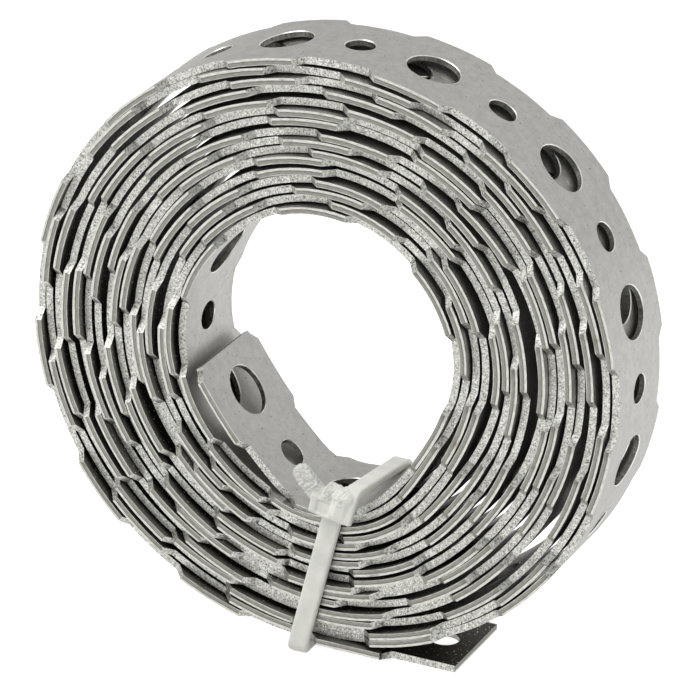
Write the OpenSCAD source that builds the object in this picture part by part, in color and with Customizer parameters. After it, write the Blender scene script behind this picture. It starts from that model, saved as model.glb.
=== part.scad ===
// Roll of perforated stainless mounting strap, bound by one cable tie and standing on edge.
// The coil's axis runs along Y and its front end faces -Y. The origin is on the axis, at mid width.
// Angles around the coil count clockwise from the top, as seen from the front.

/* [Strap] */
// Width across the wide stretches, where the large holes are
strap_w = 17; // [15:0.5:24]
// Thickness of the strip
strap_t = 0.8; // [0.6:0.05:1]
// Depth of each waist, cut into both edges
waist_cut = 1.4; // [0.8:0.1:2]
// Length of a waist's straight bottom
waist_l = 8.9; // [7:0.1:10]
// Length of the slant at each end of a waist
waist_slant = 1.4; // [0.8:0.1:2]
// Distance from one large hole to the next
hole_pitch = 21; // [20:0.25:25]
// Diameter of the large holes, in the wide stretches
large_hole_d = 7.2; // [5:0.1:8]
// Diameter of the small holes, in the waists
small_hole_d = 4; // [3:0.1:5]

/* [Coil] */
// Diameter of the bore inside the innermost turn
bore_d = 42; // [36:1:60]
// Number of turns
turns = 16; // [6:1:20]
// Gap between one turn and the next
turn_gap = 0.56; // [0.4:0.02:0.9]
// Depth of the gaps between the turns, from each end of the coil
gap_deep = 4; // [3:0.25:4.5]

/* [Outer end] */
// Length of the straight end that leaves the coil at the bottom
tail_l = 19.6; // [16:0.2:30]
// Distance from the cut to the first small hole
tail_hole_in = 4.6; // [3.5:0.1:6]

/* [Inner end] */
// Where the inner end leaves the innermost turn
tongue_at = 183; // [180:1:200]
// Radius of its bend, at the waist
tongue_bend_r = 12; // [10:0.5:14]
// Angle of that bend
tongue_bend = 57; // [45:1:65]
// Length of its straight stretch
tongue_l = 12.2; // [11.5:0.1:14]
// Distance from the cut to the nearest large hole
tongue_hole_in = 6.4; // [5.5:0.1:7.5]

/* [Cable tie] */
// Width of the band
tie_w = 2.6; // [2:0.1:4]
// Thickness of the band
tie_t = 1.2; // [0.8:0.1:1.6]
// Slack between the band and the strap
tie_slack = 0.05; // [0.02:0.01:0.15]
// Where the band crosses the bore
tie_in_at = 173; // [168:0.5:174]
// Where the band passes under the coil
tie_out_at = 186; // [184:0.5:190]
// Width of the head, across the band
head_w = 4.9; // [4.4:0.1:7]
// Height of the head, along the band
head_h = 5.2; // [4:0.1:7]
// How far the head stands out from the strap's edge
head_d = 3.6; // [3:0.1:5]
// How far the head stands above the bore's surface
head_rise = 1; // [0:0.1:2]
// How far the head sits to the left of the band's middle
head_side = 1.9; // [0:0.1:2.5]
// Length of the cut-off end above the head
stub_l = 4.6; // [2:0.1:8]
// Lean of the cut-off end
stub_lean = -30; // [-45:1:0]

/* [Hidden] */
$fn = 64;
cut = 1;                                   // how far a cutter reaches past what it cuts
bury = 0.25;                               // how deep an end strip starts inside its turn
seam_room = 1;                             // shortest wide stretch where a modelled turn closes on itself
waist_w = strap_w - 2 * waist_cut;
waist_room = waist_l + 2 * waist_slant + seam_room;
turn_pitch = strap_t + turn_gap;
bore_r = bore_d / 2;
coil_r = bore_r + (turns - 1) * turn_pitch + strap_t;
core_w = strap_w - 2 * gap_deep;
tie_inner_r = bore_r - tie_slack - tie_t;
tie_outer_r = coil_r + tie_slack + tie_t;
tie_face_y = strap_w / 2 + tie_slack;
tie_run_w = tie_w - bury;
tie_half_in = half_angle(tie_w, bore_r);
tie_half_out = half_angle(tie_w, coil_r);
// The coil stands level on the underside of the tie and on the far edge of the straight end.
floor_z = -tie_outer_r * cos(tie_out_at - tie_half_out - 180);
tail_r = coil_r - bury;
tail_dip = atan2(tail_l, tail_r) - acos(-floor_z / norm([tail_l, tail_r]));
tail_at = 180 + tail_dip;

// Outer radius and middle radius of a turn, counted from the outermost
function turn_r(j) = coil_r - j * turn_pitch;
function turn_mid_r(j) = turn_r(j) - strap_t / 2;
// Length of strap from the outer end to where a turn starts
function turn_start(j) = tail_l + 2 * PI * (j * turn_mid_r(0) - turn_pitch * j * (j - 1) / 2);
// Angles on a turn of the features that repeat each pitch, the first at a given length of strap.
// The last keeps clear of the first, where the modelled turn closes on itself.
function places(j, first) = let (
        n0 = ceil((turn_start(j) - first) / hole_pitch),
        room = 2 * PI * turn_mid_r(j) - waist_room)
    [for (n = [n0 : n0 + floor(room / hole_pitch)])
        tail_at + (first + n * hole_pitch - turn_start(j)) / turn_mid_r(j) * 180 / PI];
function waists(j) = places(j, tail_hole_in);
function wides(j) = places(j, tail_hole_in + hole_pitch / 2);
// A point in the end plane at a radius and an angle
function around(r, a) = [r * sin(a), r * cos(a)];
// Half the angle that a width takes up at a radius
function half_angle(width, r) = width / 2 / r * 180 / PI;

// The two notches of a waist, with slanted ends, through whatever lies between two heights
module waist_notches(low, high) {
    half = waist_l / 2;
    for (side = [0, 1]) mirror([0, side, 0]) translate([0, 0, low]) linear_extrude(high - low)
        polygon([[-half, waist_w / 2], [half, waist_w / 2],
                 [half + 2 * waist_slant, waist_w / 2 + 2 * waist_cut],
                 [-half - 2 * waist_slant, waist_w / 2 + 2 * waist_cut]]);
}

// A ring about the coil's axis, whole or from one angle to another
module ring(inner, outer, width) {
    rotate([90, 0, 0]) rotate_extrude() translate([inner, -width / 2]) square([outer - inner, width]);
}
module arc_ring(inner, outer, width, from, to) {
    rotate([90, 0, 0]) rotate_extrude(angle = to - from, start = 90 - to)
        translate([inner, -width / 2]) square([outer - inner, width]);
}

// One turn of the strap, with its waists
module turn(j) {
    difference() {
        ring(turn_r(j) - strap_t, turn_r(j), strap_w);
        for (a = waists(j)) rotate([0, a, 0]) waist_notches(turn_r(j) - strap_t - cut, turn_r(j) + cut);
    }
}

// The holes that show on a turn, as deep as the strip is thick
module turn_holes(j, low, high) {
    for (a = wides(j)) rotate([0, a, 0]) translate([0, 0, low]) cylinder(h = high - low, d = large_hole_d);
    for (a = waists(j)) rotate([0, a, 0]) translate([0, 0, low]) cylinder(h = high - low, d = small_hole_d);
}

// Straight outer end: it leaves the outermost turn along its tangent
module tail() {
    rotate([0, tail_at, 0]) difference() {
        translate([-tail_l, -strap_w / 2, tail_r - strap_t]) cube([tail_l, strap_w, strap_t]);
        translate([tail_hole_in - tail_l, 0, 0]) {
            waist_notches(tail_r - strap_t - cut, tail_r + cut);
            translate([0, 0, tail_r - 2 * strap_t]) cylinder(h = 3 * strap_t, d = small_hole_d);
        }
    }
}
module tail_large_hole() {
    rotate([0, tail_at, 0]) translate([tail_hole_in + hole_pitch / 2 - tail_l, 0, tail_r - strap_t - turn_gap / 2])
        cylinder(h = 2 * strap_t, d = large_hole_d);
}

// Inner end: it bends inwards at a waist, then runs straight through the next wide stretch
module tongue() {
    hole_x = tongue_l - tongue_hole_in;
    hole_turn = (hole_pitch / 2 - hole_x) / (tongue_bend_r + strap_t / 2) * 180 / PI;
    rotate([0, tongue_at, 0]) translate([0, 0, bore_r + bury - tongue_bend_r]) {
        difference() {
            arc_ring(tongue_bend_r, tongue_bend_r + strap_t, waist_w - bury, 0, tongue_bend);
            rotate([0, tongue_bend - hole_turn, 0]) translate([0, 0, tongue_bend_r - cut])
                cylinder(h = strap_t + 2 * cut, d = small_hole_d);
        }
        rotate([0, tongue_bend, 0]) difference() {
            translate([-bury, -strap_w / 2, tongue_bend_r]) cube([tongue_l + bury, strap_w, strap_t]);
            for (x = [hole_x - hole_pitch / 2, hole_x + hole_pitch / 2]) translate([x, 0, 0])
                waist_notches(tongue_bend_r - cut, tongue_bend_r + strap_t + cut);
            translate([hole_x, 0, tongue_bend_r - cut]) cylinder(h = strap_t + 2 * cut, d = large_hole_d);
        }
    }
}

// The whole strap: its turns show at both ends of the coil and are joined by a plain core inside
module strap() {
    color("#a4a49e") {
        difference() {
            union() {
                ring(bore_r + strap_t / 2, coil_r - strap_t / 2, core_w);
                for (j = [0 : turns - 1]) turn(j);
                tail();
            }
            turn_holes(0, coil_r - strap_t - turn_gap / 2, coil_r + cut);
            turn_holes(turns - 1, bore_r - cut, bore_r + strap_t + turn_gap / 2);
            tail_large_hole();
        }
        tongue();
    }
}

// One run of the band down an end face of the coil, from inside one corner to inside the other
module tie_run() {
    r_in = tie_inner_r + tie_t / 2;
    r_out = tie_outer_r - tie_t / 2;
    half_in = half_angle(tie_run_w, bore_r);
    half_out = half_angle(tie_run_w, coil_r);
    rotate([90, 0, 0]) linear_extrude(tie_t) polygon([
        around(r_in, tie_in_at - half_in), around(r_in, tie_in_at + half_in),
        around(r_out, tie_out_at + half_out), around(r_out, tie_out_at - half_out)]);
}

// Head and cut-off end, lined up with the band's run down the front
module tie_head() {
    top = around(bore_r, tie_in_at);
    low = around(coil_r, tie_out_at);
    lean = atan2(top[0] - low[0], top[1] - low[1]);
    translate([top[0], -tie_face_y, top[1]]) rotate([0, lean, 0]) {
        translate([-head_side - head_w / 2, -head_d, head_rise - head_h]) cube([head_w, head_d, head_h]);
        translate([-head_side, -head_d / 2 - tie_t / 2, head_rise - tie_t]) rotate([0, stub_lean, 0])
            translate([-tie_w / 2, 0, 0]) cube([tie_w, tie_t, stub_l + tie_t]);
    }
}

// Cable tie: a closed band through the bore and around the strap, with its head at the front
module cable_tie() {
    color("#dcddd6") {
        arc_ring(tie_inner_r, bore_r - tie_slack, 2 * (tie_face_y + tie_t),
                 tie_in_at - tie_half_in, tie_in_at + tie_half_in);
        arc_ring(coil_r + tie_slack, tie_outer_r, 2 * (tie_face_y + tie_t),
                 tie_out_at - tie_half_out, tie_out_at + tie_half_out);
        translate([0, -tie_face_y, 0]) tie_run();
        translate([0, tie_face_y + tie_t, 0]) tie_run();
        tie_head();
    }
}

strap();
cable_tie();
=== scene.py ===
# %% [markdown]
# # A roll of perforated mounting strap
# The strap is a stainless strip, 17 mm wide and 0.8 mm thick. A press punches a large and a small hole
# in turn and nibbles a shallow waist into both edges beside each small hole. About 3.15 m of it is wound
# into a flat coil by hand, so its turns lie unevenly, and one nylon cable tie holds them together.
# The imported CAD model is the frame: it gives the sizes, and the detailed pieces are built around it.

# %% Load the frame
import math

import bmesh
import bpy
import numpy as np
from mathutils import Matrix, Vector, noise


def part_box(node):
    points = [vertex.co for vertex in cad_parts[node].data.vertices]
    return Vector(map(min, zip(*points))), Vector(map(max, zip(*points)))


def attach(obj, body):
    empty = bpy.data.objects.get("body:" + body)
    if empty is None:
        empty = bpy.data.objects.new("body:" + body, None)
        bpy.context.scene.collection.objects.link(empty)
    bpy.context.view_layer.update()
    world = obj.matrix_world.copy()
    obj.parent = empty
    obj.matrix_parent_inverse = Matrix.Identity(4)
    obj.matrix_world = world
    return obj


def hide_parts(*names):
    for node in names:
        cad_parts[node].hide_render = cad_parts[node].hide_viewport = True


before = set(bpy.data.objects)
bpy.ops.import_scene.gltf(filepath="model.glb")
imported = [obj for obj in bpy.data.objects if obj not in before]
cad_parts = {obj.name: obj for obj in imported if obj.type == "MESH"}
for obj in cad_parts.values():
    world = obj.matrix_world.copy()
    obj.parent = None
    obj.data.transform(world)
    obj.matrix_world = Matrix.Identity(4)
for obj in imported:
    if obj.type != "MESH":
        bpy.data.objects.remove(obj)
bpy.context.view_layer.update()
MM = 0.001
strap_low, strap_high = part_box("strap")
tie_low, tie_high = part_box("cable_tie")
print("strap box in mm", [round(v / MM, 2) for v in (*strap_low, *strap_high)])
print("tie box in mm", [round(v / MM, 2) for v in (*tie_low, *tie_high)])


def add_object(name, data):
    made = bpy.data.objects.new(name, data)
    bpy.context.scene.collection.objects.link(made)
    return made


def to_data(mesh, name):
    """Mesh data made from a bmesh, which is then freed."""
    data = bpy.data.meshes.new(name)
    mesh.to_mesh(data)
    mesh.free()
    return data


# %% [markdown]
# ## Sizes of the strip
# These are the sizes of the flat strip before it is wound. One pitch runs from one large hole to the next:
# a wide stretch, a slant, a waist with the small hole in its middle, and a slant back out.

# %% Strip sizes, in millimetres
WIDTH = 17.0
THICK = 0.87  # sold as 0.8 mm, but the roll looks thicker, burrs and oil film included
PITCH = 21.0
WAIST_CUT = 1.4
WAIST = 8.9
SLANT = 1.4
LARGE_R = 3.6
SMALL_R = 2.0
BREAK = 0.11  # how far the hole rims are broken
LIP = 0.1  # width of the strip along each edge that the blade squeezed
PROUD = 0.045  # how far the squeezed edge stands out from the faces
WIDE = PITCH - WAIST - 2 * SLANT
TAIL_TO_HOLE = 4.6  # from the cut at the outer end to the first small hole
TONGUE_TO_HOLE = 6.4  # from the last large hole to the cut at the inner end
print("wide stretch", WIDE, "mm, waist", WAIST, "mm")

# %% [markdown]
# ## One pitch of the flat strip
# A mesh of one pitch is all that has to be built one by one, because the strip repeats. Each hole gets two
# rings: the start of its broken rim and the hole itself. Rings of 24 points meet the square around them
# point for point, so the mesh holds only quads and bends cleanly. Every face is marked with the finish
# that the press left on it, and the burr side of the waist edges is marked for later.

# %% Stations of one pitch
FACE, SLIT, PUNCHED, HOLE, RIM, TORN = range(6)
CRISP = math.radians(20)  # corners sharper than this stay crisp
CELLS = 6  # cells along a wide stretch or a waist, and across the square around its hole
HALF_CORNER = 45  # direction of a square's corner from its middle, in degrees


def pitch_lines():
    """Stations along one pitch: x, half width, half side of the square."""
    wide = [(-WIDE / 2 + WIDE * i / CELLS, WIDTH / 2, WIDE / 2) for i in range(CELLS + 1)]
    x0 = WIDE / 2 + SLANT
    waist = [(x0 + WAIST * i / CELLS, WIDTH / 2 - WAIST_CUT, WAIST / 2) for i in range(CELLS + 1)]
    return wide + waist + [(PITCH - WIDE / 2, WIDTH / 2, WIDE / 2)]


def row_heights(half, square):
    inner = [square * (2 * j / CELLS - 1) for j in range(CELLS + 1)]
    return [-half, -half + LIP] + inner + [half - LIP, half]


LINES = pitch_lines()
LAST_LINE = len(LINES) - 1
LAST_ROW = len(row_heights(1, 1)) - 1
SQUARE_LOW = 2  # first and last row of the square around a hole
SQUARE_HIGH = LAST_ROW - 2
print("one pitch has", len(LINES), "stations of", LAST_ROW + 1, "points")


# %% One face of the pitch, with its two holes
def add_face(mesh, corners, mark, flip=False):
    face = mesh.faces.new(corners[::-1] if flip else corners)
    face[mesh.faces.layers.int["finish"]] = mark
    face.smooth = True


def skin_points(mesh, side):
    """Points of one face, by station and row. A square's inside stays empty for its hole."""
    burr = mesh.verts.layers.float["burr"]
    grid = {}
    for i, (x, half, square) in enumerate(LINES):
        hole_column = i % (CELLS + 1) not in (0, CELLS) and i < LAST_LINE
        for j, y in enumerate(row_heights(half, square)):
            if hole_column and SQUARE_LOW < j < SQUARE_HIGH:
                continue
            outer = j in (0, LAST_ROW)
            proud = PROUD if outer else 0
            v = mesh.verts.new((x, y, side * (THICK / 2 + proud)))
            v[burr] = 1.0 if side < 0 and outer and CELLS < i < LAST_LINE else 0.0
            grid[i, j] = v
    return grid


def hole_rings(mesh, grid, side, first, centre, radius):
    """Joins a hole to the square around it, and gives back the hole's own ring."""
    last = first + CELLS
    loop = [grid[i, SQUARE_HIGH] for i in range(last, first, -1)]
    loop += [grid[first, j] for j in range(SQUARE_HIGH, SQUARE_LOW, -1)]
    loop += [grid[i, SQUARE_LOW] for i in range(first, last)]
    loop += [grid[last, j] for j in range(SQUARE_LOW, SQUARE_HIGH)]
    count = len(loop)
    turn = [math.radians(HALF_CORNER) + 2 * math.pi * k / count for k in range(count)]
    rings = []
    for r, drop in ((radius + BREAK, 0.0), (radius, BREAK)):
        z = side * (THICK / 2 - drop)
        rings.append([mesh.verts.new((centre + r * math.cos(a), r * math.sin(a), z)) for a in turn])
    rim, hole = rings
    for k in range(count):
        n = (k + 1) % count
        add_face(mesh, [loop[k], loop[n], rim[n], rim[k]], FACE, side < 0)
        add_face(mesh, [rim[k], rim[n], hole[n], hole[k]], RIM, side < 0)
    return hole


def pitch_skin(mesh, side):
    """One face of the strip: its points by station and row, and the rings of its two holes."""
    grid = skin_points(mesh, side)
    for i in range(LAST_LINE):
        panel = i < CELLS or CELLS < i < 2 * CELLS + 1
        for j in range(LAST_ROW):
            if panel and SQUARE_LOW <= j < SQUARE_HIGH:
                continue
            # The rows along both edges take the broken rim's finish, toned near white as a painted highlight.
            mark = RIM if j in (0, LAST_ROW - 1) else FACE
            add_face(mesh, [grid[i, j], grid[i + 1, j], grid[i + 1, j + 1], grid[i, j + 1]], mark, side < 0)
    large = hole_rings(mesh, grid, side, 0, 0.0, LARGE_R)
    small = hole_rings(mesh, grid, side, CELLS + 1, PITCH / 2, SMALL_R)
    return grid, (large, small)


# %% The whole pitch, and its trimmed ends
def edge_mark(i):
    """The tool that made the edge after a station."""
    if i < CELLS:
        return SLIT
    if i in (CELLS, LAST_LINE - 1):
        return TORN
    return PUNCHED


def pitch_mesh(name):
    """Both faces of one pitch, its edges and its hole walls. It stays open where the next pitch joins on."""
    mesh = bmesh.new()
    mesh.faces.layers.int.new("finish")
    mesh.verts.layers.float.new("burr")
    top, top_rings = pitch_skin(mesh, 1)
    bottom, bottom_rings = pitch_skin(mesh, -1)
    for i in range(LAST_LINE):
        for j in (0, LAST_ROW):
            add_face(mesh, [bottom[i, j], bottom[i + 1, j], top[i + 1, j], top[i, j]], edge_mark(i), j > 0)
    for upper, lower in zip(top_rings, bottom_rings):
        for k in range(len(upper)):
            n = (k + 1) % len(upper)
            add_face(mesh, [upper[k], upper[n], lower[n], lower[k]], HOLE)
    mesh.normal_update()
    for edge in mesh.edges:
        if len(edge.link_faces) == 2:
            edge.smooth = edge.calc_face_angle() < CRISP
    bmesh.ops.scale(mesh, vec=(MM, MM, MM), verts=mesh.verts)
    return to_data(mesh, name)


ON_CUT = 0.0001  # a point this near the cut, in millimetres, lies on it


def trimmed(data, name, cut_at, keep_right):
    """A copy of one pitch, cut square across at one place and closed there."""
    mesh = bmesh.new()
    mesh.from_mesh(data)
    finish = mesh.faces.layers.int["finish"]
    geom = mesh.verts[:] + mesh.edges[:] + mesh.faces[:]
    bmesh.ops.bisect_plane(mesh, geom=geom, plane_co=(cut_at * MM, 0, 0), plane_no=(1, 0, 0),
                           clear_inner=keep_right, clear_outer=not keep_right)
    on_cut = {v for v in mesh.verts if abs(v.co.x - cut_at * MM) < ON_CUT * MM}
    rim = [e for e in mesh.edges if e.is_boundary and on_cut.issuperset(e.verts)]
    for face in bmesh.ops.contextual_create(mesh, geom=rim)["faces"]:
        face[finish] = SLIT
        for edge in face.edges:
            edge.smooth = False
    bmesh.ops.recalc_face_normals(mesh, faces=mesh.faces)
    return to_data(mesh, name)


pitch_data = pitch_mesh("one_pitch")
print("one pitch:", len(pitch_data.vertices), "points,", len(pitch_data.polygons), "faces")

# %% [markdown]
# ## The path of the coil
# A hand-wound coil isn't a clean spiral. Its outermost and its innermost turn follow two outlines, a few
# points each, with a smooth curve between them. The turns in between share out the room evenly, then each is
# moved a little by a seeded draw, and in a few places the coil gapes. Where two turns would touch, the inner
# one gives way.

# %% Outlines of the coil, in millimetres
# Direction in degrees clockwise from the top, then the radius of the outermost and of the innermost turn.
OUTLINES = (
    (205, 41.25, 22.5),
    (225, 41.5, 21.75),
    (270, 42.0, 21.0),
    (315, 41.75, 20.25),
    (360, 40.75, 20.5),
    (405, 41.25, 19.75),
    (450, 41.25, 19.0),
    (495, 41.25, 18.75),
    (525, 41.0, 21.75),
)
# Where the coil gapes: how many turns lie outside the gap, its direction, its reach both ways, its opening.
GAPES = (
    (2, 305, 50, 0.6),
    (3, 495, 60, 0.7),
    (4, 270, 60, 0.6),
    (7, 280, 60, 0.5),
    (8, 430, 65, 0.8),
    (12, 450, 50, 0.6),
)
GAPE_FADE = 3.0  # turns over which a gap's push on its neighbours fades
UNEVEN = 0.16  # how far the winder's hand strayed
TURNS = 16
FULL_TURN = 360
BOTTOM = 180
FIRST_R = 41.45  # where the outer end comes off, straight down
SAG_AT = 188  # where the last turn sags most, under the tie
SAG_R = 23.5
STEP = 3  # degrees between points of the path
TOUCHING = 1.03  # closest that the middle lines of two turns come
TAIL_AT = 184  # where the outer end leaves the coil
COIL_END = 510 + FULL_TURN * (TURNS - 1)  # where the inner end's own points take over
rng = np.random.default_rng(7)
uneven = rng.normal(0, UNEVEN, (len(OUTLINES), TURNS))


def spline(knots, values, at):
    """Natural cubic spline through the values at the knots."""
    knots, values = np.array(knots, float), np.array(values, float)
    n = len(knots)
    h = np.diff(knots)
    a = np.eye(n)
    b = np.zeros(n)
    for i in range(1, n - 1):
        a[i, i - 1:i + 2] = h[i - 1], 2 * (h[i - 1] + h[i]), h[i]
        b[i] = 6 * ((values[i + 1] - values[i]) / h[i] - (values[i] - values[i - 1]) / h[i - 1])
    m = np.linalg.solve(a, b)
    i = np.clip(np.searchsorted(knots, at) - 1, 0, n - 2)
    left, right = at - knots[i], knots[i + 1] - at
    bent = (m[i] * right ** 3 + m[i + 1] * left ** 3) / (6 * h[i])
    from_left = (values[i] / h[i] - m[i] * h[i] / 6) * right
    from_right = (values[i + 1] / h[i] - m[i + 1] * h[i] / 6) * left
    return bent + from_left + from_right


def pushed(k, direction):
    """How far the gaps beside a turn push it outwards."""
    push = 0.0
    for outside, middle, reach, opening in GAPES:
        near = max(0.0, 1 - (abs(direction - middle) / reach) ** 2)
        away = outside - 0.5 - k
        push += math.copysign(opening / 2 * near * math.exp(-abs(away) / GAPE_FADE), away)
    return push


def lay_coil(tightness):
    """Middle line of all turns. Tightness moves the turns between the two outlines inwards a little."""
    places = {BOTTOM: FIRST_R, SAG_AT + FULL_TURN * (TURNS - 1): SAG_R}
    for row, (direction, outer, inner) in enumerate(OUTLINES):
        for k in range(TURNS):
            share = k / (TURNS - 1)
            share += tightness * math.sin(math.pi * share)
            r = outer + (inner - outer) * share
            if 0 < k < TURNS - 1:
                r += uneven[row, k] + pushed(k, direction)
            places[direction + FULL_TURN * k] = r
    knots = sorted(places)
    angles = np.arange(TAIL_AT, COIL_END, STEP)
    radii = spline(knots, [places[a] for a in knots], angles)
    for i in range(FULL_TURN // STEP, len(radii)):
        radii[i] = min(radii[i], radii[i - FULL_TURN // STEP] - TOUCHING)
    return np.stack([radii * np.sin(np.radians(angles)), radii * np.cos(np.radians(angles))], 1)


def length_of(points):
    return float(np.hypot(*np.diff(points, axis=0).T).sum())


# %% [markdown]
# The strip holds whole pitches, so its length isn't free: the cut at the inner end comes a set distance after
# a large hole. The coil is first laid evenly, and then wound a little tighter or looser until that fits.

# %% Outer end, coil and inner end
# The outer end runs straight on and comes down to the floor.
FLOOR = strap_low.z / MM
TAIL = 20.4
TAIL_LIFT = 0.03  # clearance that keeps the far edge off the floor
TAIL_CELLS = 24
# The inner end bends sharply under the tie's head and runs almost straight up into the bore.
INNER_END = ((5.25, -21.25), (0, -22.5), (-5.75, -21.5), (-9.25, -18.25), (-12, -15), (-15.5, -10),
             (-18.75, -4.5))
INNER_CELL = 0.7
LEAD_IN = (-13, -7, -1)  # points of the coil that the inner end's curve starts from
HOLE_ONE = TAIL_TO_HOLE + PITCH / 2  # first large hole, from the outer cut


def lay_strip(tightness):
    """The whole middle line, from the outer cut to the inner one."""
    coil = lay_coil(tightness)
    start = coil[0]
    slope = math.asin((start[1] - (FLOOR + THICK / 2 + TAIL_LIFT)) / TAIL)
    out_dir = np.array([math.cos(slope), -math.sin(slope)])
    tail = np.array([start + TAIL * t * out_dir for t in np.linspace(1, 0, TAIL_CELLS)[:-1]])
    knots = np.array([coil[n] for n in LEAD_IN] + [np.array(p) for p in INNER_END])
    reach = np.concatenate([[0], np.cumsum(np.hypot(*np.diff(knots, axis=0).T))])
    first = reach[len(LEAD_IN) - 1]
    cells = np.linspace(first, reach[-1], int((reach[-1] - first) / INNER_CELL))[1:]
    inner = np.stack([spline(reach, knots[:, axis], cells) for axis in (0, 1)], 1)
    return np.concatenate([tail, coil, inner])


SLACK_LENGTH = 1280.0  # about how much strip one unit of tightness takes up
ATTEMPTS = 6
tightness = 0.0
even = length_of(lay_strip(tightness))
whole = round((even - TONGUE_TO_HOLE - HOLE_ONE) / PITCH)
wanted = HOLE_ONE + whole * PITCH + TONGUE_TO_HOLE
for attempt in range(ATTEMPTS):
    tightness += (length_of(lay_strip(tightness)) - wanted) / SLACK_LENGTH
path = lay_strip(tightness)
total = length_of(path)
print("laid evenly", round(even, 1), "mm, wound", round(total, 1), "mm,", whole, "whole pitches")

# %% [markdown]
# Each turn also stands a little forward or back of its neighbours. The path becomes a curve that the winding
# can read.

# %% Sway, and the path as a curve
SWAY = 0.12
SWAY_KNOTS = 60
sway_knots = np.linspace(0, total, SWAY_KNOTS)
sway_values = rng.normal(0, SWAY, len(sway_knots))
along = np.concatenate([[0], np.cumsum(np.hypot(*np.diff(path, axis=0).T))])
sway = spline(sway_knots, sway_values, along)
print("sways up to", round(float(np.abs(sway).max()), 2), "mm")

curve_data = bpy.data.curves.new("coil_path", "CURVE")
curve_data.dimensions = "3D"
line = curve_data.splines.new("POLY")
line.points.add(len(path) - 1)
for point, (x, z), y in zip(line.points, path, sway):
    point.co = (x * MM, y * MM, z * MM, 1)
coil_path = add_object("coil_path", curve_data)

# %% [markdown]
# ## Helpers for node trees
# Materials and the winding are node trees. One helper adds a node with its settings, values and links, and
# the others turn sizes, spans and colours into what the sockets take.

# %% Node helpers
MATH, VECTOR_MATH, MIX = "ShaderNodeMath", "ShaderNodeVectorMath", "ShaderNodeMix"
NOISE, MAP_RANGE = "ShaderNodeTexNoise", "ShaderNodeMapRange"
FLAT = "flat"  # attribute with each point's place on the flat strip, in metres


def add_node(tree, kind, links=(), **settings):
    """Adds a node with its settings, values and links. A linked node stands for its first output."""
    node = tree.nodes.new(kind)
    values = settings.pop("values", {})
    for key, value in settings.items():
        setattr(node, key, value)
    for key, value in values.items():
        node.inputs[key].default_value = value
    for key, source in dict(links).items():
        output = source.outputs[0] if isinstance(source, bpy.types.Node) else source
        tree.links.new(output, node.inputs[key])
    return node


def hex_colour(text):
    """An sRGB hex colour as linear RGBA."""
    parts = [int(text[i:i + 2], 16) / 255 for i in (1, 3, 5)]
    return tuple(c / 12.92 if c <= 0.04045 else ((c + 0.055) / 1.055) ** 2.4 for c in parts) + (1.0,)


def per_mm(size):
    """Noise scale whose features are about this many millimetres across, on coordinates in metres."""
    return 1 / (size * MM)


def span(ends, unit=1.0):
    """The ends of the range that a node maps from."""
    return {"From Min": ends[0] * unit, "From Max": ends[1] * unit}


def fill_ramp(ramp, stops):
    """Gives a colour ramp its stops, each a place and a tone."""
    while len(ramp.elements) < len(stops):
        ramp.elements.new(0.5)
    for element, (place, tone) in zip(ramp.elements, stops):
        element.position = place
        element.color = hex_colour(tone)


# %% [markdown]
# ## Stainless finishes
# Cold-rolled stainless strip (grade 2B) has a smooth, grey, slightly cloudy face with fine pits. Its long
# edges were slit: a burnished band, then a torn one, and a painted highlight runs along each corner. The
# waists were nibbled, which leaves a coarse crystalline break that glitters. Between the turns the faces
# get painted shade, with pale dust in it. Each finish is its own material, because each was made by another
# tool. Stainless is a metal, so its colour is in its reflections.

# %% The noise that every stainless finish shares
def new_material(name):
    """A material with its node tree and its Principled shader."""
    material = bpy.data.materials.new(name)
    material.use_nodes = True
    return material, material.node_tree, material.node_tree.nodes["Principled BSDF"]


def steel(name, roughness, stops, grain, stretch, bump, rough_spread):
    """Stainless with one noise of a stated grain in millimetres, stretched along the strip."""
    material, tree, shader = new_material(name)
    shader.inputs["Metallic"].default_value = 1.0
    flat = add_node(tree, "ShaderNodeAttribute", attribute_name=FLAT)
    scaled = add_node(tree, "ShaderNodeMapping", {"Vector": flat.outputs["Vector"]},
                      values={"Scale": stretch})
    noise = add_node(tree, NOISE, {"Vector": scaled},
                     values={"Scale": per_mm(grain), "Detail": 4.0, "Roughness": 0.65})
    colour = add_node(tree, "ShaderNodeValToRGB", {"Fac": noise}, name="tones")
    fill_ramp(colour.color_ramp, stops)
    tree.links.new(colour.outputs["Color"], shader.inputs["Base Color"])
    spread = add_node(tree, MAP_RANGE, {"Value": noise},
                      values={"To Min": roughness - rough_spread, "To Max": roughness + rough_spread})
    tree.links.new(spread.outputs["Result"], shader.inputs["Roughness"])
    relief = add_node(tree, "ShaderNodeBump", {"Height": noise},
                      values={"Strength": 0.6, "Distance": bump * MM})
    tree.links.new(relief.outputs["Normal"], shader.inputs["Normal"])
    return material


# %% Rolled face, nibbled edge, torn slant, hole wall, broken rim with painted highlight, and slit edge
# Each ramp runs from the dark hollows of a surface to its bright high spots.
EVEN = (1, 1, 1)
ROLLED = ((0.3, "#B2B1AD"), (0.7, "#C4C3BF"))  # satin grey, slightly cloudy
NIBBLED = ((0.36, "#5A5A54"), (0.43, "#B8B8B2"), (0.55, "#D0D0CA"), (0.64, "#F6F6F0"))  # glitters
TORN_OFF = ((0.36, "#6A6A64"), (0.45, "#ACACA6"), (0.6, "#D8D8D2"))  # coarse and dull
WALL = ((0.3, "#8E8E89"), (0.7, "#D0D0CA"))  # drawn down by the punch
RIM_HIGHLIGHT_TONES = ((0.3, "#DADAD4"), (0.7, "#FAFAF5"))  # the broken rim, toned near white: a painted highlight around each hole and along the edges
SHEARED = ((0.35, "#9A9A95"), (0.5, "#C2C2BD"), (0.65, "#DADAD5"))
rolled_face = steel("cold_rolled_2b_face", 0.46, ROLLED, 1.2, EVEN, 0.012, 0.05)
punched_edge = steel("punched_edge", 0.5, NIBBLED, 0.2, EVEN, 0.035, 0.1)
torn_slant = steel("torn_slant", 0.42, TORN_OFF, 0.3, EVEN, 0.09, 0.12)
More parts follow.
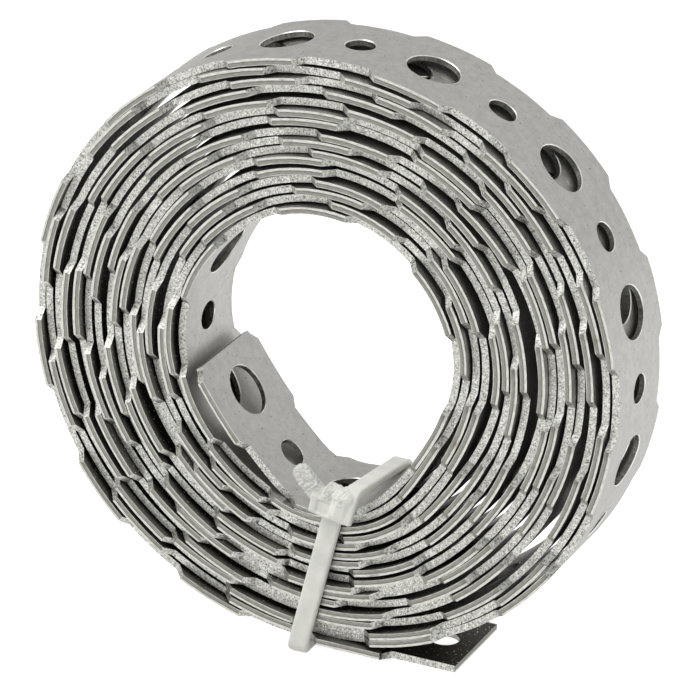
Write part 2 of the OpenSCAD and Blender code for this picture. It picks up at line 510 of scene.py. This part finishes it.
hole_wall = steel("hole_wall", 0.38, WALL, 0.4, (1, 1, 0.3), 0.03, 0.1)
broken_rim_highlight = steel("broken_rim_highlight", 0.35, RIM_HIGHLIGHT_TONES, 0.5, (0.4, 1, 1), 0.02, 0.08)
slit_edge = steel("slit_edge", 0.45, SHEARED, 0.25, (0.3, 1, 1.5), 0.025, 0.08)
finishes = {FACE: rolled_face, SLIT: slit_edge, PUNCHED: punched_edge, HOLE: hole_wall, RIM: broken_rim_highlight,
            TORN: torn_slant}
print("stainless finishes:", [m.name for m in finishes.values()])

# %% [markdown]
# A slit edge has bands that run along it. Both corners carry a painted highlight, a white line along
# each, and a fine dark line parts the upper one from the grey band where the metal sheared. The ramp runs
# through the strip's thickness, and a slow noise lets the bands wander.

# %% Bands of the slit edge
# The white stops at both ends are painted highlights along the edge's two corners.
BANDS = ((0.0, "#FFFFFA"), (0.1, "#FFFFFA"), (0.2, "#B6B6B0"), (0.56, "#AEAEA8"), (0.66, "#76766F"),
         (0.76, "#FFFFFA"), (1.0, "#FFFFFA"))
BAND_SPAN = (-THICK / 2, THICK / 2 + 0.12)  # heights that the ramp covers, its wandering included
WANDER = 0.25  # how far the bands wander
WANDER_SIZE = 6  # along how much strip
BAND_LIFT = 0.22  # share of the plain band tones, so that the line stays readable
tree = slit_edge.node_tree
flat = add_node(tree, "ShaderNodeAttribute", attribute_name=FLAT)
parts = add_node(tree, "ShaderNodeSeparateXYZ", {0: flat.outputs["Vector"]})
wander = add_node(tree, NOISE, {"Vector": flat.outputs["Vector"]},
                  values={"Scale": per_mm(WANDER_SIZE), "Detail": 2.0})
wandering = add_node(tree, MATH, {0: wander}, operation="MULTIPLY", values={1: WANDER * MM})
level = add_node(tree, MATH, {0: parts.outputs["Z"], 1: wandering}, operation="ADD")
place = add_node(tree, MAP_RANGE, {"Value": level}, values=span(BAND_SPAN, MM))
bands = add_node(tree, "ShaderNodeValToRGB", {"Fac": place})
fill_ramp(bands.color_ramp, BANDS)
banded = add_node(tree, MIX, {6: tree.nodes["tones"].outputs["Color"], 7: bands.outputs["Color"]},
                  data_type="RGBA", blend_type="MULTIPLY", values={"Factor": 1.0})
lifted = add_node(tree, MIX, {6: banded.outputs[2], 7: bands.outputs["Color"]},
                  data_type="RGBA", values={"Factor": BAND_LIFT})
tree.links.new(lifted.outputs[2], tree.nodes["Principled BSDF"].inputs["Base Color"])

# %% [markdown]
# Handling leaves brownish smears on a few stretches of the edges.

# %% Smears on the edges
def speckled(tree, colour, place, tone, size, fade, share=1.0, where=None, **grain):
    """Lays a tone over a colour where a noise is high, and gives back the new colour."""
    spots = add_node(tree, NOISE, {"Vector": place}, values={"Scale": per_mm(size), **grain})
    mask = add_node(tree, MAP_RANGE, {"Value": spots}, values=span(fade) | {"To Max": share})
    if where is not None:
        mask = add_node(tree, MATH, {0: mask, 1: where}, operation="MULTIPLY")
    mixed = add_node(tree, MIX, {"Factor": mask, 6: colour}, data_type="RGBA", values={7: hex_colour(tone)})
    return mixed.outputs[2]


SMEAR = 7.0  # size of the smeared stretches, in millimetres
SMEAR_TONE = "#6E6653"  # brownish
SMEAR_FADE = (0.6, 0.72)  # levels of the noise between which a smear fades in
SMEAR_SHARE = 0.6
for material in (slit_edge, punched_edge):
    tree = material.node_tree
    socket = tree.nodes["Principled BSDF"].inputs["Base Color"]
    flat = add_node(tree, "ShaderNodeAttribute", attribute_name=FLAT)
    soiled = speckled(tree, socket.links[0].from_socket, flat.outputs["Vector"], SMEAR_TONE, SMEAR,
                      SMEAR_FADE, SMEAR_SHARE, Detail=5.0, Roughness=0.75)
    tree.links.new(soiled, socket)

# %% [markdown]
# ## Painted shade between the turns, pits and dust on the rolled face
# The outer side of the outermost turn and the inner side of the innermost one lie open; all other faces lie
# between turns and get painted shade, fading out towards the strip's edges. The flat place of a point tells
# which is which: its length along the strip and its side. Pits are rare small dark spots, and dust is small
# pale spots that only the faces between turns hold.

# %% Painted shade, pits and dust
OPEN_OUTER = 272.0  # length of strip in the outer end and the outermost turn, whose outer side gets no painted shade
OPEN_INNER = 150.0  # length of strip in the innermost turn and the inner end, whose inner side gets no painted shade
OUTER_SHADE_REACH = (5.6, 8.8)  # distances from the strip's middle line where the painted shade is whole and where it ends
INNER_SHADE_REACH = (7.0, 9.4)
PAINTED_SHADE_TONE = "#5C5950"  # painted shade, a dark grey laid over the metal
OUTER_SHADE_SHARE = 0.35  # the outer side of a turn gets only this share of the painted shade
tree = rolled_face.node_tree
shader = tree.nodes["Principled BSDF"]
tones = tree.nodes["tones"]
flat = add_node(tree, "ShaderNodeAttribute", attribute_name=FLAT)
parts = add_node(tree, "ShaderNodeSeparateXYZ", {0: flat.outputs["Vector"]})
depth = add_node(tree, MATH, {0: parts.outputs["Y"]}, operation="ABSOLUTE")
# Each side: how its height and its stretch of strip compare with nought and a limit, and its painted shade.
SIDES = (
    ("GREATER_THAN", OPEN_OUTER, OUTER_SHADE_REACH, OUTER_SHADE_SHARE),
    ("LESS_THAN", total - OPEN_INNER, INNER_SHADE_REACH, 1.0),
)
between_turns_sides = []
painted_shade_sides = []
for compare, limit, reach, share in SIDES:
    on_side = add_node(tree, MATH, {0: parts.outputs["Z"]}, operation=compare, values={1: 0.0})
    covered = add_node(tree, MATH, {0: parts.outputs["X"]}, operation=compare, values={1: limit * MM})
    between_turns_side = add_node(tree, MATH, {0: on_side, 1: covered}, operation="MULTIPLY")
    fading = add_node(tree, MAP_RANGE, {"Value": depth},
                      values=span(reach, MM) | {"To Min": share, "To Max": 0.0})
    painted_shade_side = add_node(tree, MATH, {0: between_turns_side, 1: fading}, operation="MULTIPLY")
    between_turns_sides.append(between_turns_side)
    painted_shade_sides.append(painted_shade_side)
between_turns = add_node(tree, MATH, dict(enumerate(between_turns_sides)), operation="ADD")
painted_shade = add_node(tree, MATH, dict(enumerate(painted_shade_sides)), operation="ADD")
# Painted shade: faces between turns are darkened towards the strip's middle line, standing in for the shade
# in the gaps.
shaded = add_node(tree, MIX, {"Factor": painted_shade, 6: tones.outputs["Color"]},
                  data_type="RGBA", blend_type="MULTIPLY", values={7: hex_colour(PAINTED_SHADE_TONE)})
PIT = 0.32  # real pits are about 0.1 mm, drawn as coarse as it takes to see them
PIT_TONE = "#55534E"  # dark hollows
PIT_FADE = (0.7, 0.76)
PIT_SHARE = 0.75
pitted = speckled(tree, shaded.outputs[2], flat.outputs["Vector"], PIT_TONE, PIT, PIT_FADE, PIT_SHARE,
                  Detail=1.0)
DUST = 0.4  # coarser than real dust, for the same reason
DUST_TONE = "#E8E6DE"  # pale
DUST_FADE = (0.65, 0.71)
dust_place = add_node(tree, "ShaderNodeMapping", {"Vector": flat.outputs["Vector"]},
                      values={"Location": (0.37, 0.11, 0.0)})
dusty = speckled(tree, pitted, dust_place, DUST_TONE, DUST, DUST_FADE, where=between_turns, Detail=2.0)
tree.links.new(dusty, shader.inputs["Base Color"])
# The painted shade covers the faces beyond these lengths.
print("film on the faces beyond", OPEN_OUTER, "mm, up to", OPEN_INNER, "mm from the inner cut")

# %% [markdown]
# ## Winding the strip with Geometry Nodes
# The tree does what the workshop does, in the same order: it repeats the punched pitch, joins the two cut
# ends, roughens the burrs while the strip is still flat, and only then rolls it up by reading the path
# at each point's own distance along the strip. The flat place of each point is kept as an attribute, so
# that the finish can follow the strip around the coil.

# %% The two cut ends
outer_cut = PITCH - HOLE_ONE  # in the coordinates of the pitch before
outer_end = add_object("outer_end", trimmed(pitch_data, "outer_end", outer_cut, True))
inner_end = add_object("inner_end", trimmed(pitch_data, "inner_end", TONGUE_TO_HOLE, False))
outer_end.data.transform(Matrix.Translation((-outer_cut * MM, 0, 0)))
inner_end.data.transform(Matrix.Translation(((HOLE_ONE + whole * PITCH) * MM, 0, 0)))
for end in (outer_end, inner_end):
    print(end.name, len(end.data.polygons), "faces")

# %% The winding tree
BURR = 0.08  # tallest burr below a waist's edge
BURR_SPACING = 1.3  # about how far apart the tall ones are
JOIN = 0.006  # points closer than this are one
winding = bpy.data.node_groups.new("wind_strip", "GeometryNodeTree")
INPUTS = (
    ("Geometry", "NodeSocketGeometry", None),
    ("Pitch", "NodeSocketFloat", PITCH * MM),
    ("Pitches", "NodeSocketInt", whole),
    ("First large hole", "NodeSocketFloat", HOLE_ONE * MM),
    ("Outer end", "NodeSocketObject", outer_end),
    ("Inner end", "NodeSocketObject", inner_end),
    ("Path", "NodeSocketObject", coil_path),
    ("Burr", "NodeSocketFloat", BURR * MM),
    ("Burr spacing", "NodeSocketFloat", BURR_SPACING * MM),
)
sockets = {}
for title, kind, value in INPUTS:
    sockets[title] = (winding.interface.new_socket(title, in_out="INPUT", socket_type=kind), value)
winding.interface.new_socket("Geometry", in_out="OUTPUT", socket_type="NodeSocketGeometry")
given = winding.nodes.new("NodeGroupInput").outputs
step = add_node(winding, "ShaderNodeCombineXYZ", {"X": given["Pitch"]})
first = add_node(winding, "ShaderNodeCombineXYZ", {"X": given["First large hole"]})
row = add_node(winding, "GeometryNodeMeshLine", {"Count": given["Pitches"], "Offset": step,
                                                "Start Location": first})
spots = add_node(winding, "GeometryNodeInstanceOnPoints", {"Points": row, "Instance": given["Geometry"]})
strip = add_node(winding, "GeometryNodeRealizeInstances", {"Geometry": spots})
ends = [add_node(winding, "GeometryNodeObjectInfo", {"Object": given[n]}) for n in ("Outer end", "Inner end")]
joined = add_node(winding, "GeometryNodeJoinGeometry")
for source in (strip.outputs[0], ends[0].outputs["Geometry"], ends[1].outputs["Geometry"]):
    winding.links.new(source, joined.inputs[0])
merged = add_node(winding, "GeometryNodeMergeByDistance", {"Geometry": joined},
                  values={"Distance": JOIN * MM})
place = add_node(winding, "GeometryNodeInputPosition")
kept = add_node(winding, "GeometryNodeStoreNamedAttribute",
                {"Geometry": merged, "Value": place}, data_type="FLOAT_VECTOR",
                domain="POINT", values={"Name": FLAT})
# Burrs stand below the waist edges by an uneven amount.
marks = add_node(winding, "GeometryNodeInputNamedAttribute", data_type="FLOAT", values={"Name": "burr"})
inverse = add_node(winding, MATH, {1: given["Burr spacing"]}, operation="DIVIDE", values={0: 1.0})
ragged = add_node(winding, NOISE, {"Vector": place, "Scale": inverse}, values={"Detail": 2.0})
amount = add_node(winding, MATH, {0: marks, 1: ragged}, operation="MULTIPLY")
height = add_node(winding, MATH, {0: amount, 1: given["Burr"]}, operation="MULTIPLY")
down = add_node(winding, MATH, {0: height}, operation="MULTIPLY", values={1: -1.0})
burr_shift = add_node(winding, "ShaderNodeCombineXYZ", {"Z": down})
burred = add_node(winding, "GeometryNodeSetPosition", {"Geometry": kept, "Offset": burr_shift})
# Roll up: the distance along the strip finds the place on the path.
flat_place = add_node(winding, "ShaderNodeSeparateXYZ", {0: place})
path_info = add_node(winding, "GeometryNodeObjectInfo", {"Object": given["Path"]})
sample = add_node(winding, "GeometryNodeSampleCurve", {"Curves": path_info.outputs["Geometry"],
                                                       "Length": flat_place.outputs["X"]}, mode="LENGTH")
across = add_node(winding, "ShaderNodeCombineXYZ", values={"Y": 1.0})
outward = add_node(winding, VECTOR_MATH, {0: sample.outputs["Tangent"], 1: across},
                   operation="CROSS_PRODUCT")
outward_unit = add_node(winding, VECTOR_MATH, {0: outward}, operation="NORMALIZE")
lift = add_node(winding, VECTOR_MATH, {0: outward_unit, "Scale": flat_place.outputs["Z"]},
                operation="SCALE")
side = add_node(winding, "ShaderNodeCombineXYZ", {"Y": flat_place.outputs["Y"]})
stood = add_node(winding, VECTOR_MATH, {0: sample.outputs["Position"], 1: lift}, operation="ADD")
placed = add_node(winding, VECTOR_MATH, {0: stood, 1: side}, operation="ADD")
wound = add_node(winding, "GeometryNodeSetPosition", {"Geometry": burred, "Position": placed})
final = add_node(winding, "GeometryNodeRealizeInstances", {"Geometry": wound})
marked = add_node(winding, "GeometryNodeInputNamedAttribute", data_type="INT", values={"Name": "finish"})
result = final
for mark, material in finishes.items():
    chosen = add_node(winding, "FunctionNodeCompare", {2: marked}, data_type="INT", operation="EQUAL")
    chosen.inputs[3].default_value = mark
    dressed = add_node(winding, "GeometryNodeSetMaterial", {"Geometry": result, "Selection": chosen},
                       values={"Material": material})
    result = dressed
out = winding.nodes.new("NodeGroupOutput")
winding.links.new(result.outputs[0], out.inputs[0])

# %% Wind the strap
source = add_object("strap_source", pitch_data)
wind = source.modifiers.new("wind", "NODES")
wind.node_group = winding
for title, (socket, value) in sockets.items():
    if value is not None:
        wind[socket.identifier] = value
bpy.context.view_layer.update()
evaluated = source.evaluated_get(bpy.context.evaluated_depsgraph_get())
strap_data = bpy.data.meshes.new_from_object(evaluated)
strap_data.name = "strap_roll"
strap = add_object("strap_roll", strap_data)
source.modifiers.remove(wind)
for helper in (source, coil_path, outer_end, inner_end):
    bpy.data.objects.remove(helper)
triangles = sum(len(p.vertices) - 2 for p in strap_data.polygons)
print("strap:", len(strap_data.vertices), "points,", triangles, "triangles")
check = bmesh.new()
check.from_mesh(strap_data)
print("open edges", sum(e.is_boundary for e in check.edges))
print("volume", round(check.calc_volume(signed=True) / MM ** 3), "mm3")
check.free()

# %% The strap rides on the body and takes the place of its CAD node
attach(strap, "root")
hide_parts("strap")

# %% [markdown]
# ## The cable tie
# A small nylon tie is one moulding: a flat band, and a head that the band's end is pulled through. Here the
# band leaves the head's right side, turns over the corner into the bore, runs back through it, down the
# back, forward under the coil and up the front, and passes through the head again. Its end was cut off
# roughly above the head. The band is a rounded section swept along that way, the head is a few blocks, and
# the cut end is a row of sections that narrow to the cut. A voxel remesh then joins them into one skin,
# which also rounds every corner as a mould does.

# %% The band's way around the strap, in millimetres
BAND_W = 2.8
BAND_T = 1.15
BAND_CORNER = 0.35
# Corner points of the band's middle line with the bend radius at each, from inside the head to the ridge.
BAND_WAY = (
    ((1.75, -9.2, -20.6), 0.0),
    ((-4.95, -9.2, -42.74), 1.5),
    ((-4.95, 9.15, -42.74), 1.5),
    ((3.6, 9.15, -20.9), 2.2),
    ((4.65, -11.25, -17.9), 1.7),
    ((3.6, -11.45, -21.75), 0.0),
)
# Direction of the band's width along each straight stretch between those corners.
BAND_ACROSS = ((0.957, 0, -0.29), (0.998, 0, 0.05), (0.937, 0, -0.35), (1, 0, 0.03), (0.957, 0, -0.29))
BEND_CELLS = 8
STRETCH_CELL = 0.8


def rounded_way(corners):
    """Points along straight stretches joined by round bends, and the stretch that each belongs to."""
    points, stretches = [], []
    at = Vector(corners[0][0])
    for n in range(1, len(corners)):
        corner, radius = Vector(corners[n][0]), corners[n][1]
        last = n == len(corners) - 1
        before = (corner - at).normalized()
        after = before if last else (Vector(corners[n + 1][0]) - corner).normalized()
        reach = 0.0 if last else radius * math.tan(before.angle(after) / 2)
        stop = corner - before * reach
        leave = corner + after * reach
        cells = max(2, round((stop - at).length / STRETCH_CELL))
        points += [at.lerp(stop, k / cells) for k in range(cells)]
        stretches += [n - 1.0] * cells
        if last:
            break
        for k in range(BEND_CELLS):
            t = k / BEND_CELLS
            points.append(stop.lerp(corner, t).lerp(corner.lerp(leave, t), t))
            stretches.append(n - 1.0 + t)
        at = leave
    return points + [corner], stretches + [n - 1.0]


def section(width, thick, corner, steps=3):
    """A rounded rectangle, anticlockwise."""
    points = []
    for sx, sy, first in ((1, 1, 0), (-1, 1, 90), (-1, -1, 180), (1, -1, 270)):
        for k in range(steps + 1):
            a = math.radians(first + 90 * k / steps)
            points.append((sx * (width / 2 - corner) + corner * math.cos(a),
                           sy * (thick / 2 - corner) + corner * math.sin(a)))
    return points


def loft(mesh, rings):
    """A closed solid through rings of points."""
    for low, high in zip(rings, rings[1:]):
        for k in range(len(low)):
            n = (k + 1) % len(low)
            mesh.faces.new([low[k], low[n], high[n], high[k]])
    mesh.faces.new(rings[0][::-1])
    mesh.faces.new(rings[-1])


def sweep(mesh, points, across, outline):
    """A closed solid: the outline carried along the points, its width along the given directions."""
    rings = []
    for n, (point, wide) in enumerate(zip(points, across)):
        ahead = points[min(n + 1, len(points) - 1)] - points[max(n - 1, 0)]
        ahead.normalize()
        wide = (wide - ahead * wide.dot(ahead)).normalized()
        deep = ahead.cross(wide)
        rings.append([mesh.verts.new((point + wide * x + deep * y) * MM) for x, y in outline])
    loft(mesh, rings)


def twist(stretches, stretch_across):
    """The band's width direction at each point: it turns evenly from one stretch to the next."""
    directions = []
    for place in stretches:
        n = min(int(place), len(stretch_across) - 1)
        m = min(n + 1, len(stretch_across) - 1)
        directions.append(Vector(stretch_across[n]).lerp(Vector(stretch_across[m]), place - n).normalized())
    return directions


way, stretches = rounded_way(BAND_WAY)
print("band:", len(way), "points")

# %% [markdown]
# ## The head and the cut end
# The head is measured in its own frame: across, up along the band, and out towards the front. Its left part
# has a small sunk panel, where the mould's core stood. Its right part is the ridge in which the band turns
# over, and between them the plastic was torn when the end was cut.

# %% Head, panel, lump and cut end
HEAD_AT = Vector((-0.85, -8.6, -20.9))  # lower left corner, against the strap's edges
LEAN = math.radians(16)
HEAD_ACROSS = Vector((math.cos(LEAN), 0, -math.sin(LEAN)))
HEAD_UP = Vector((math.sin(LEAN), 0, math.cos(LEAN)))
HEAD_OUT = Vector((0, -1, 0))


def head_point(u, v, n):
    return HEAD_AT + HEAD_ACROSS * u + HEAD_UP * v + HEAD_OUT * n


def block(mesh, low, high, bevel, taper=0.0):
    """A box with bevelled edges; taper draws its top in at both sides."""
    made = bmesh.ops.create_cube(mesh, size=1.0)["verts"]
    for v in made:
        u, w, n = [low[i] + (high[i] - low[i]) * (v.co[i] + 0.5) for i in range(3)]
        if v.co[1] > 0:
            u += taper if v.co[0] < 0 else -taper
        v.co = head_point(u, w, n) * MM
    edges = {e for v in made for e in v.link_edges}
    if bevel:
        bmesh.ops.bevel(mesh, geom=list(edges), offset=bevel * MM, segments=2, affect="EDGES", profile=0.5)


# Parts of the head: low corner, high corner and bevel, each in the head's frame.
BODY = ((-0.6, -0.25, 0.0), (4.3, 2.5, 2.75), 0.25)
TOP = ((0.7, 2.0, 0.4), (4.4, 4.3, 2.8), 0.35)
RIDGE = ((2.35, -0.1, 0.9), (5.6, 4.7, 3.5), 1.0)
PANEL = ((0.4, 0.15, 2.55), (2.3, 2.1, 4.0), 0)
STUB_FROM = Vector((0.5, -10.4, -19.4))
STUB_TO = Vector((-3.0, -10.5, -14.95))
STUB_W = 2.7
# Places along the cut end, and the share of its width there: it narrows to the cut.
STUB_SHAPE = ((0, 1.0), (0.25, 1.0), (0.5, 1.0), (0.72, 0.97), (0.88, 0.85), (0.96, 0.6), (1.0, 0.3))
STUB_THINNEST = 0.6  # share of the thickness that a cut to nothing would leave
stub_up = (STUB_TO - STUB_FROM).normalized()
stub_across = Vector((stub_up.z, 0, -stub_up.x))
stub_length = (STUB_TO - STUB_FROM).length

bm = bmesh.new()
sweep(bm, way, twist(stretches, BAND_ACROSS), section(BAND_W, BAND_T, BAND_CORNER))
block(bm, *BODY)
block(bm, *TOP, taper=0.1)
block(bm, *RIDGE)
stub_rings = []
for place, share in STUB_SHAPE:
    point = STUB_FROM + stub_up * stub_length * place
    thick = BAND_T * (STUB_THINNEST + (1 - STUB_THINNEST) * share)
    outline = section(STUB_W * share, thick, BAND_CORNER * share)
    stub_rings.append([bm.verts.new((point + stub_across * x + HEAD_OUT * y) * MM) for x, y in outline])
loft(bm, stub_rings)
bmesh.ops.recalc_face_normals(bm, faces=bm.faces)
tie_source = add_object("tie_source", to_data(bm, "tie_rough"))

# The panel is cut out of the first skin, and the second skin rounds its corners a little.
bm = bmesh.new()
block(bm, *PANEL)
panel = add_object("tie_panel", to_data(bm, "tie_panel"))

VOXEL = 0.1  # fineness of the skin


def add_skin(name):
    skin = tie_source.modifiers.new(name, "REMESH")
    skin.mode = "VOXEL"
    skin.voxel_size = VOXEL * MM


add_skin("first_skin")
cutter = tie_source.modifiers.new("sunk_panel", "BOOLEAN")
cutter.operation = "DIFFERENCE"
cutter.object = panel
add_skin("skin")
soften = tie_source.modifiers.new("soften", "SMOOTH")
soften.iterations = 3
soften.factor = 0.5
bpy.context.view_layer.update()
tie_data = bpy.data.meshes.new_from_object(tie_source.evaluated_get(bpy.context.evaluated_depsgraph_get()))
tie_data.name = "nylon_tie"
for helper in (tie_source, panel):
    bpy.data.objects.remove(helper)

# %% [markdown]
# ## Torn and toothed surfaces
# The cut end still carries the band's teeth, and the pliers left its surface and the top of the head rough.
# Every point there is moved along its normal by a short row of teeth and by noise.

# %% Roughen the head's top and the cut end
bm = bmesh.new()
bm.from_mesh(tie_data)
bm.normal_update()
TOOTH = 0.62  # from one tooth to the next
TOOTH_DEEP = 0.05
TORN_DEEP = 0.18
TORN_GRAIN = 0.4
STUB_CLEAR = 2.1  # how far along the cut end it comes clear of the head
STUB_RIGHT = 2.4  # where the cut end stops, across the head
ROUGH_UP = 2.6  # the head is rough above this height
ROUGH_ACROSS = (1.0, 4.3)
for v in bm.verts:
    place = v.co / MM
    local = place - HEAD_AT
    up, out = local.dot(HEAD_UP), local.dot(HEAD_OUT)
    across = local.dot(HEAD_ACROSS)
    along_stub = (place - STUB_FROM).dot(stub_up)
    on_stub = along_stub > STUB_CLEAR and across < STUB_RIGHT and out > 0.6
    on_top = up > ROUGH_UP and ROUGH_ACROSS[0] < across < ROUGH_ACROSS[1] and out > 0.3 and not on_stub
    if not (on_stub or on_top):
        continue
    shift = noise.noise(place / TORN_GRAIN) * TORN_DEEP
    shift += noise.noise(place / (TORN_GRAIN * 0.4)) * TORN_DEEP * 0.5
    if on_stub and v.normal.dot(HEAD_OUT) > 0.3:
        shift += TOOTH_DEEP * abs(math.sin(math.pi * along_stub / TOOTH))
    v.co += v.normal * shift * MM
for face in bm.faces:
    face.smooth = True
print("tie:", len(bm.verts), "points, open edges", sum(e.is_boundary for e in bm.edges))
print("volume", round(bm.calc_volume() / MM ** 3, 1), "mm3")
bm.to_mesh(tie_data)
bm.free()

# %% [markdown]
# ## Natural nylon
# Unpigmented nylon 66 is milky: light goes a little way in and comes out again, bluish where it is thin.
# The mould's satin finish and handling scratches leave it half glossy. Light under its surface is given by
# subsurface scattering of about half a millimetre, and the scratches by a stretched noise.

# %% Nylon material
GLOW_DEEP = 0.5  # how deep light goes in
CLOUD = 2.5
SCRATCH = 0.35  # coarser than real scratches, so that they show
SCRATCH_DEEP = 0.03
GRAIN = 0.4  # grains of the torn plastic
GRAIN_DEEP = 0.35
TORN_ABOVE = (-19.6, -18.9)  # heights between which the torn part begins
TORN_LEFT_OF = (1.9, 2.8)  # and where it ends towards the ridge
nylon, tree, shader = new_material("natural_nylon_66")
shader.inputs["IOR"].default_value = 1.53  # nylon 66
shader.inputs["Subsurface Weight"].default_value = 0.35
shader.inputs["Subsurface Radius"].default_value = (1.0, 1.1, 1.25)  # blue goes deepest
shader.inputs["Subsurface Scale"].default_value = GLOW_DEEP * MM
place = add_node(tree, "ShaderNodeTexCoord")
cloud = add_node(tree, NOISE, {"Vector": place.outputs["Object"]},
                 values={"Scale": per_mm(CLOUD), "Detail": 3.0})
milky = add_node(tree, "ShaderNodeValToRGB", {"Fac": cloud})
fill_ramp(milky.color_ramp, ((0.35, "#E4E5DF"), (0.65, "#F2F2E8")))
tree.links.new(milky.outputs["Color"], shader.inputs["Base Color"])
scratch_place = add_node(tree, "ShaderNodeMapping", {"Vector": place.outputs["Object"]},
                         values={"Rotation": (0, math.radians(17), 0), "Scale": (1, 1, 0.2)})
scratches = add_node(tree, NOISE, {"Vector": scratch_place},
                     values={"Scale": per_mm(SCRATCH), "Detail": 3.0})
gloss = add_node(tree, MAP_RANGE, {"Value": scratches}, values={"To Min": 0.28, "To Max": 0.5})
tree.links.new(gloss.outputs["Result"], shader.inputs["Roughness"])
relief = add_node(tree, "ShaderNodeBump", {"Height": scratches},
                  values={"Strength": 0.5, "Distance": SCRATCH_DEEP * MM})
# The cut end and the top of the head are torn and granular.
parts = add_node(tree, "ShaderNodeSeparateXYZ", {0: place.outputs["Object"]})
above = add_node(tree, MAP_RANGE, {"Value": parts.outputs["Z"]}, values=span(TORN_ABOVE, MM))
leftward = add_node(tree, MAP_RANGE, {"Value": parts.outputs["X"]},
                    values=span(TORN_LEFT_OF, MM) | {"To Min": 1.0, "To Max": 0.0})
torn = add_node(tree, MATH, {0: above, 1: leftward}, operation="MULTIPLY")
grains = add_node(tree, NOISE, {"Vector": place.outputs["Object"]},
                  values={"Scale": per_mm(GRAIN), "Detail": 3.0, "Roughness": 0.7})
granular = add_node(tree, "ShaderNodeBump", {"Height": grains, "Strength": torn,
                                             "Normal": relief.outputs["Normal"]},
                    values={"Distance": GRAIN_DEEP * MM})
tree.links.new(granular.outputs["Normal"], shader.inputs["Normal"])
tie_data.materials.clear()
tie_data.materials.append(nylon)
tie = add_object("nylon_tie", tie_data)
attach(tie, "root")
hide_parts("cable_tie")

# %% [markdown]
# ## Floor
# The roll stands on a plain white floor that keeps its soft shadow. White paint alone would look grey here,
# so the floor also glows: fully for the camera, and less in the metal's reflections.

# %% Floor
FLOOR_HALF = 3.0  # in metres, so that its edges stay out of sight
floor_z = min(tie_low.z, strap_low.z)
corners = [(x * FLOOR_HALF, y * FLOOR_HALF, floor_z) for x, y in ((-1, -1), (1, -1), (1, 1), (-1, 1))]
floor_data = bpy.data.meshes.new("floor")
floor_data.from_pydata(corners, [], [(0, 1, 2, 3)])
floor = add_object("floor", floor_data)


def camera_sees(tree, rays):
    """One for rays that come straight from the camera, or through a clear thing, and nought for others."""
    return add_node(tree, MATH, {0: rays.outputs["Is Camera Ray"],
                                             1: rays.outputs["Is Transmission Ray"]}, operation="MAXIMUM")


SEEN_GLOW = 0.85  # the floor's own light for the camera
MIRRORED_GLOW = 0.62  # and in the metal's reflections
floor_material, tree, shader = new_material("white_floor")
shader.inputs["Roughness"].default_value = 0.8
shader.inputs["Base Color"].default_value = hex_colour("#C8C8C8")
rays = add_node(tree, "ShaderNodeLightPath")
seen_glow = add_node(tree, MATH, {0: camera_sees(tree, rays)}, operation="MULTIPLY", values={1: SEEN_GLOW})
mirrored = add_node(tree, MATH, {0: rays.outputs["Is Glossy Ray"]}, operation="MULTIPLY",
                    values={1: MIRRORED_GLOW})
strength = add_node(tree, MATH, {0: seen_glow, 1: mirrored}, operation="MAXIMUM")
glow = add_node(tree, "ShaderNodeEmission", {"Strength": strength})
both = add_node(tree, "ShaderNodeAddShader", {0: shader, 1: glow})
tree.links.new(both.outputs[0], tree.nodes["Material Output"].inputs["Surface"])
floor_data.materials.append(floor_material)

# %% [markdown]
# ## Light
# A white tent with one big soft lamp at the upper left. The tent is brighter behind the roll and to its
# right, because the metal shows that side in its faces. Camera rays see plain white.

# %% Tent and lamp
BRIGHT_SIDE = Vector((0.6, 0.75, 0.28))
TENT_DIM = 0.5
TENT_BRIGHT = 0.86
TENT_SPAN = (-0.3, 0.95)  # how squarely a direction faces that side: dimmest, brightest
world = bpy.data.worlds.new("studio")
bpy.context.scene.world = world
world.use_nodes = True
tree = world.node_tree
background = tree.nodes["Background"]
background.inputs["Color"].default_value = (1, 1, 1, 1)
toward = add_node(tree, "ShaderNodeTexCoord")
facing = add_node(tree, VECTOR_MATH, {0: toward.outputs["Generated"]}, operation="DOT_PRODUCT",
                  values={1: BRIGHT_SIDE})
tent = add_node(tree, MAP_RANGE, {"Value": facing.outputs["Value"]},
                values=span(TENT_SPAN) | {"To Min": TENT_DIM, "To Max": TENT_BRIGHT})
rays = add_node(tree, "ShaderNodeLightPath")
level = add_node(tree, MIX, {"Factor": camera_sees(tree, rays), "A": tent}, values={"B": 1.0})
tree.links.new(level.outputs["Result"], background.inputs["Strength"])

LAMP_AT = Vector((-0.45, -0.4, 0.8))
key = bpy.data.lights.new("key", "AREA")
key.energy = 7.0
key.size = 0.9
key_object = add_object("key", key)
key_object.location = LAMP_AT
key_object.rotation_euler = LAMP_AT.to_track_quat("Z", "Y").to_euler()

# %% [markdown]
# ## Camera
# A long lens from above and from the right shows the coil's end and its outer side together. The camera is
# rolled by about two degrees.

# %% Camera
AIM = Vector((0.3, -0.5, -1.5))  # the point that it looks at, in millimetres
DISTANCE = 664.0
AZIMUTH = math.radians(25.42)  # round to the right of the front
ELEVATION = math.radians(21.66)
ROLL = math.radians(2.18)
SENSOR = 36
LENS = 258.6
forward = Vector((-math.sin(AZIMUTH) * math.cos(ELEVATION), math.cos(AZIMUTH) * math.cos(ELEVATION),
                  -math.sin(ELEVATION)))
level_right = forward.cross(Vector((0, 0, 1))).normalized()
up = level_right.cross(forward) * math.cos(ROLL) + level_right * math.sin(ROLL)
right = forward.cross(up).normalized()
camera_data = bpy.data.cameras.new("camera")
camera_data.sensor_width = SENSOR
camera_data.lens = LENS
camera = add_object("camera", camera_data)
camera.location = (AIM - forward * DISTANCE) * MM
camera.rotation_euler = Matrix((right, up, -forward)).transposed().to_euler()
bpy.context.scene.camera = camera
bpy.context.scene.view_settings.view_transform = "Standard"
